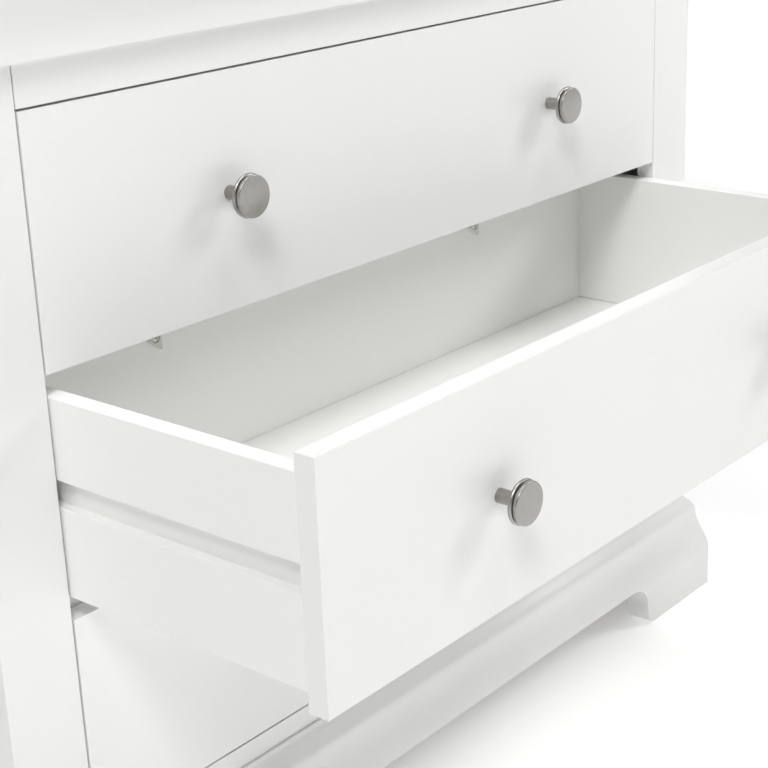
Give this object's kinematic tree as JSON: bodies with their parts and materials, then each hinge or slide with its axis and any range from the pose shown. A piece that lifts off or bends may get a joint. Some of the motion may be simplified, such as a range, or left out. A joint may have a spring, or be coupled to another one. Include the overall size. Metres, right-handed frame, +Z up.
{
  "type": "chest of drawers",
  "caption": "Low white chest with full-width inset drawers on side runners, an ogee cornice, a bracket-foot plinth and turned metal knobs; one drawer stands open.",
  "frame": {"origin": "on the floor under the middle of the stored model's box, with the middle drawer out on its stops", "axes": "+X to the right as seen from the front, +Y from the front to the back, +Z up; the drawers open towards -Y"},
  "size_m": [0.917, 0.6424, 0.7695],
  "materials": {
    "white_lacquer": "satin white lacquer on MDF",
    "drawer_lacquer": "satin white lacquer on the drawer boxes",
    "softwood": "planed pine, unfinished",
    "hardwood": "planed hardwood, waxed",
    "back_board": "white-faced hardboard",
    "satin_nickel": "satin nickel, turned",
    "zinc_screw": "zinc plated",
    "white_nylon": "moulded nylon"
  },
  "bodies": {
    "carcass": {"top_panel": "white_lacquer", "cornice_front": "white_lacquer", "top_rail": "white_lacquer", "bottom_rail": "white_lacquer", "kicker_rail": "white_lacquer", "upper_divider": "white_lacquer", "lower_divider": "white_lacquer", "back_panel": "back_board", "back_top_rail": "softwood", "back_bottom_rail": "softwood", "plinth_front": "white_lacquer", "corner_blocks": "softwood", "foot_glides": "white_nylon", "runner_screws": "zinc_screw", "cornice_left": "white_lacquer", "side_panel_left": "white_lacquer", "stile_left": "white_lacquer", "plinth_left": "white_lacquer", "runner_packers_left": "white_lacquer", "cornice_right": "white_lacquer", "side_panel_right": "white_lacquer", "stile_right": "white_lacquer", "plinth_right": "white_lacquer", "runner_packers_right": "white_lacquer", "runner_bottom_left": "hardwood", "runner_middle_left": "hardwood", "runner_top_left": "hardwood", "runner_bottom_right": "hardwood", "runner_middle_right": "hardwood", "runner_top_right": "hardwood"},
    "bottom_drawer": {"bottom_drawer_front": "white_lacquer", "bottom_drawer_left_side": "drawer_lacquer", "bottom_drawer_right_side": "drawer_lacquer", "bottom_drawer_back": "drawer_lacquer", "bottom_drawer_bottom": "drawer_lacquer", "bottom_drawer_knobs": "satin_nickel", "bottom_drawer_knob_screws": "zinc_screw", "bottom_drawer_stop_screws": "zinc_screw"},
    "bottom_drawer_left_stop": {"bottom_drawer_left_stop": "white_nylon"},
    "bottom_drawer_right_stop": {"bottom_drawer_right_stop": "white_nylon"},
    "middle_drawer": {"middle_drawer_front": "white_lacquer", "middle_drawer_left_side": "drawer_lacquer", "middle_drawer_right_side": "drawer_lacquer", "middle_drawer_back": "drawer_lacquer", "middle_drawer_bottom": "drawer_lacquer", "middle_drawer_knobs": "satin_nickel", "middle_drawer_knob_screws": "zinc_screw", "middle_drawer_stop_screws": "zinc_screw"},
    "middle_drawer_left_stop": {"middle_drawer_left_stop": "white_nylon"},
    "middle_drawer_right_stop": {"middle_drawer_right_stop": "white_nylon"},
    "top_drawer": {"top_drawer_front": "white_lacquer", "top_drawer_left_side": "drawer_lacquer", "top_drawer_right_side": "drawer_lacquer", "top_drawer_back": "drawer_lacquer", "top_drawer_bottom": "drawer_lacquer", "top_drawer_knobs": "satin_nickel", "top_drawer_knob_screws": "zinc_screw", "top_drawer_stop_screws": "zinc_screw"},
    "top_drawer_left_stop": {"top_drawer_left_stop": "white_nylon"},
    "top_drawer_right_stop": {"top_drawer_right_stop": "white_nylon"}
  },
  "joints": [
    {"name": "bottom_drawer_slide", "type": "slide", "parent": "carcass", "child": "bottom_drawer", "axis": [0, -1, 0], "range_m": [0, 0.232]},
    {"name": "bottom_drawer_left_stop_turn", "type": "hinge", "parent": "bottom_drawer", "child": "bottom_drawer_left_stop", "pos_m": [-0.214, 0.2399, 0.2739], "axis": [0, 1, 0], "range_deg": [-90, 90]},
    {"name": "bottom_drawer_right_stop_turn", "type": "hinge", "parent": "bottom_drawer", "child": "bottom_drawer_right_stop", "pos_m": [0.176, 0.2399, 0.2739], "axis": [0, 1, 0], "range_deg": [-90, 90]},
    {"name": "middle_drawer_slide", "type": "slide", "parent": "carcass", "child": "middle_drawer", "axis": [0, -1, 0], "range_m": [-0.232, 0]},
    {"name": "middle_drawer_left_stop_turn", "type": "hinge", "parent": "middle_drawer", "child": "middle_drawer_left_stop", "pos_m": [-0.214, 0.0079, 0.4474], "axis": [0, 1, 0], "range_deg": [-90, 90]},
    {"name": "middle_drawer_right_stop_turn", "type": "hinge", "parent": "middle_drawer", "child": "middle_drawer_right_stop", "pos_m": [0.176, 0.0079, 0.4474], "axis": [0, 1, 0], "range_deg": [-90, 90]},
    {"name": "top_drawer_slide", "type": "slide", "parent": "carcass", "child": "top_drawer", "axis": [0, -1, 0], "range_m": [0, 0.232]},
    {"name": "top_drawer_left_stop_turn", "type": "hinge", "parent": "top_drawer", "child": "top_drawer_left_stop", "pos_m": [-0.214, 0.2399, 0.6209], "axis": [0, 1, 0], "range_deg": [-90, 90]},
    {"name": "top_drawer_right_stop_turn", "type": "hinge", "parent": "top_drawer", "child": "top_drawer_right_stop", "pos_m": [0.176, 0.2399, 0.6209], "axis": [0, 1, 0], "range_deg": [-90, 90]}
  ]
}
